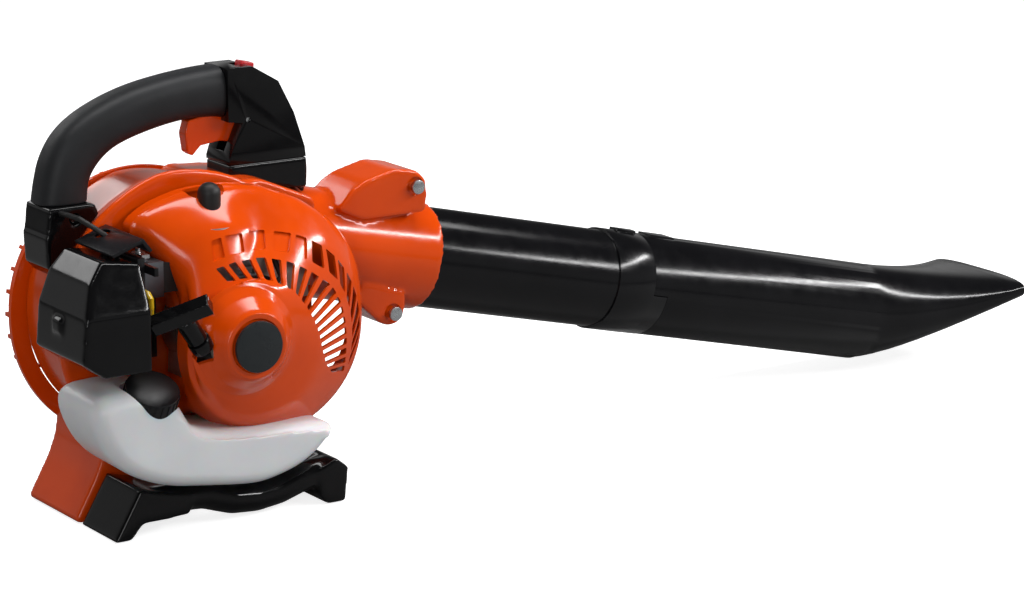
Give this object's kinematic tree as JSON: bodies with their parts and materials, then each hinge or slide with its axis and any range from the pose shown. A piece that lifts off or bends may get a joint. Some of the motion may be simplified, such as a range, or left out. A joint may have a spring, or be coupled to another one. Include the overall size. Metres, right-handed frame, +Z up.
{
  "type": "leaf blower",
  "caption": "Handheld petrol leaf blower with a looped top handle, pull-start engine, fuel tank, stand and a long tube ending in a flat flared nozzle.",
  "frame": {"origin": "centre of the blower's box at the height of the surface it stands on", "axes": "+X forward along the blower towards the nozzle, -Y the engine side, +Z up"},
  "size_m": [0.9362, 0.21, 0.3245],
  "materials": {
    "orange_plastic": "gloss",
    "black_gloss": "gloss",
    "black_plastic": "satin",
    "soft_rubber": "matt",
    "black_rubber": "matt",
    "cast_aluminium": "cast, satin",
    "steel": "satin",
    "muffler_steel": "satin",
    "gasket_paper": "matt",
    "ceramic": "gloss",
    "bulb_rubber": "satin",
    "filter_foam": "matt",
    "badge_grey": "satin",
    "reel_nylon": "satin",
    "rope_fibre": "matt",
    "tank_plastic": "translucent, satin",
    "fuel_hose": "satin",
    "red_plastic": "gloss"
  },
  "bodies": {
    "machine": {"volute_far": "orange_plastic", "volute_near": "orange_plastic", "intake_guard": "orange_plastic", "crankcase_far": "cast_aluminium", "crankcase_near": "cast_aluminium", "case_gasket": "gasket_paper", "bearings": "steel", "oil_seals": "black_rubber", "cylinder_barrel": "cast_aluminium", "spark_plug": "ceramic", "plug_cap": "black_rubber", "ignition_coil": "black_plastic", "plug_lead": "black_rubber", "muffler": "muffler_steel", "muffler_gasket": "gasket_paper", "intake_manifold": "black_plastic", "carburettor": "cast_aluminium", "filter_base": "black_plastic", "filter_element": "filter_foam", "filter_cover": "black_gloss", "air_baffle": "black_plastic", "engine_cover": "orange_plastic", "badge": "badge_grey", "recoil_spring": "steel", "starter_guide": "black_gloss", "fuel_tank": "tank_plastic", "tank_mounts": "black_rubber", "fuel_lines": "fuel_hose", "fuel_filter": "filter_foam", "handle_frame": "black_plastic", "soft_grip": "soft_rubber", "trigger_housing": "black_gloss", "rear_boot": "black_gloss", "front_boot": "black_gloss", "trigger_pivot": "steel", "throttle_cable": "black_rubber", "blower_tube": "black_plastic", "stand": "black_plastic", "cover_screws": "steel", "housing_screws": "steel"},
    "crank": {"crankshaft": "steel", "fan_impeller": "cast_aluminium", "fan_nut": "steel", "flywheel": "cast_aluminium", "flywheel_nut": "steel"},
    "piston_set": {"piston": "cast_aluminium", "piston_rings": "steel", "wrist_pin": "steel", "connecting_rod": "steel"},
    "trigger_lever": {"trigger": "orange_plastic"},
    "throttle": {"throttle_lever": "steel"},
    "choke": {"choke_lever": "black_plastic"},
    "primer": {"primer_bulb": "bulb_rubber"},
    "stop": {"stop_switch": "red_plastic"},
    "pull": {"starter_grip": "black_gloss", "starter_rope": "rope_fibre"},
    "reel": {"starter_reel": "reel_nylon"},
    "cap_rise": {"cap_gasket": "black_rubber"},
    "cap": {"fuel_cap": "black_gloss"},
    "nozzle_body": {"nozzle": "black_plastic"}
  },
  "joints": [
    {"name": "fan_spin", "type": "hinge", "parent": "machine", "child": "crank", "pos_m": [-0.33409, 0.04325, 0.142], "axis": [0, 1, 0], "continuous": true},
    {"name": "piston_stroke", "type": "slide", "parent": "machine", "child": "piston_set", "axis": [0, 0, 1], "range_m": [-0.028, 0]},
    {"name": "trigger_pull", "type": "hinge", "parent": "machine", "child": "trigger_lever", "pos_m": [-0.27209, 0.04325, 0.282], "axis": [0, 1, 0], "range_deg": [0, 15], "stiffness_Nm_per_rad": 0.5, "springref_deg": -17.19},
    {"name": "throttle_turn", "type": "hinge", "parent": "machine", "child": "throttle", "pos_m": [-0.39309, -0.02475, 0.187], "axis": [0, 0, 1], "range_deg": [-60, 0]},
    {"name": "choke_turn", "type": "hinge", "parent": "machine", "child": "choke", "pos_m": [-0.40609, -0.05375, 0.202], "axis": [1, 0, 0], "range_deg": [0, 60]},
    {"name": "primer_press", "type": "slide", "parent": "machine", "child": "primer", "axis": [0, 0, 1], "range_m": [0, 0.003], "stiffness_N_per_m": 1500, "springref_m": -0.002},
    {"name": "stop_slide", "type": "slide", "parent": "machine", "child": "stop", "axis": [0.9889, 0, -0.1483], "range_m": [0, 0.004]},
    {"name": "starter_pull", "type": "slide", "parent": "machine", "child": "pull", "axis": [-0.5854, -0.2011, 0.7854], "range_m": [0, 0.6], "stiffness_N_per_m": 15, "springref_m": -0.3},
    {"name": "reel_spin", "type": "hinge", "parent": "machine", "child": "reel", "pos_m": [-0.33409, -0.07475, 0.142], "axis": [0, 1, 0], "range_deg": [0, 1565]},
    {"name": "cap_lift", "type": "slide", "parent": "machine", "child": "cap_rise", "axis": [0, -0.4695, 0.8829], "range_m": [0, 0.01]},
    {"name": "cap_turn", "type": "hinge", "parent": "cap_rise", "child": "cap", "pos_m": [-0.40309, -0.06175, 0.114], "axis": [0, -0.4695, 0.8829], "range_deg": [0, 901]},
    {"name": "nozzle_twist", "type": "hinge", "parent": "machine", "child": "nozzle_body", "pos_m": [-0.33409, 0.04325, 0.20643], "axis": [0.9732, 0, -0.23], "range_deg": [-20, 0]}
  ],
  "couplings": [
    {"joint": "throttle_turn", "follows": "trigger_pull", "ratio": -4},
    {"joint": "reel_spin", "follows": "starter_pull", "rad_per_m": 45.455},
    {"joint": "cap_turn", "follows": "cap_lift", "rad_per_m": 1570.8}
  ]
}
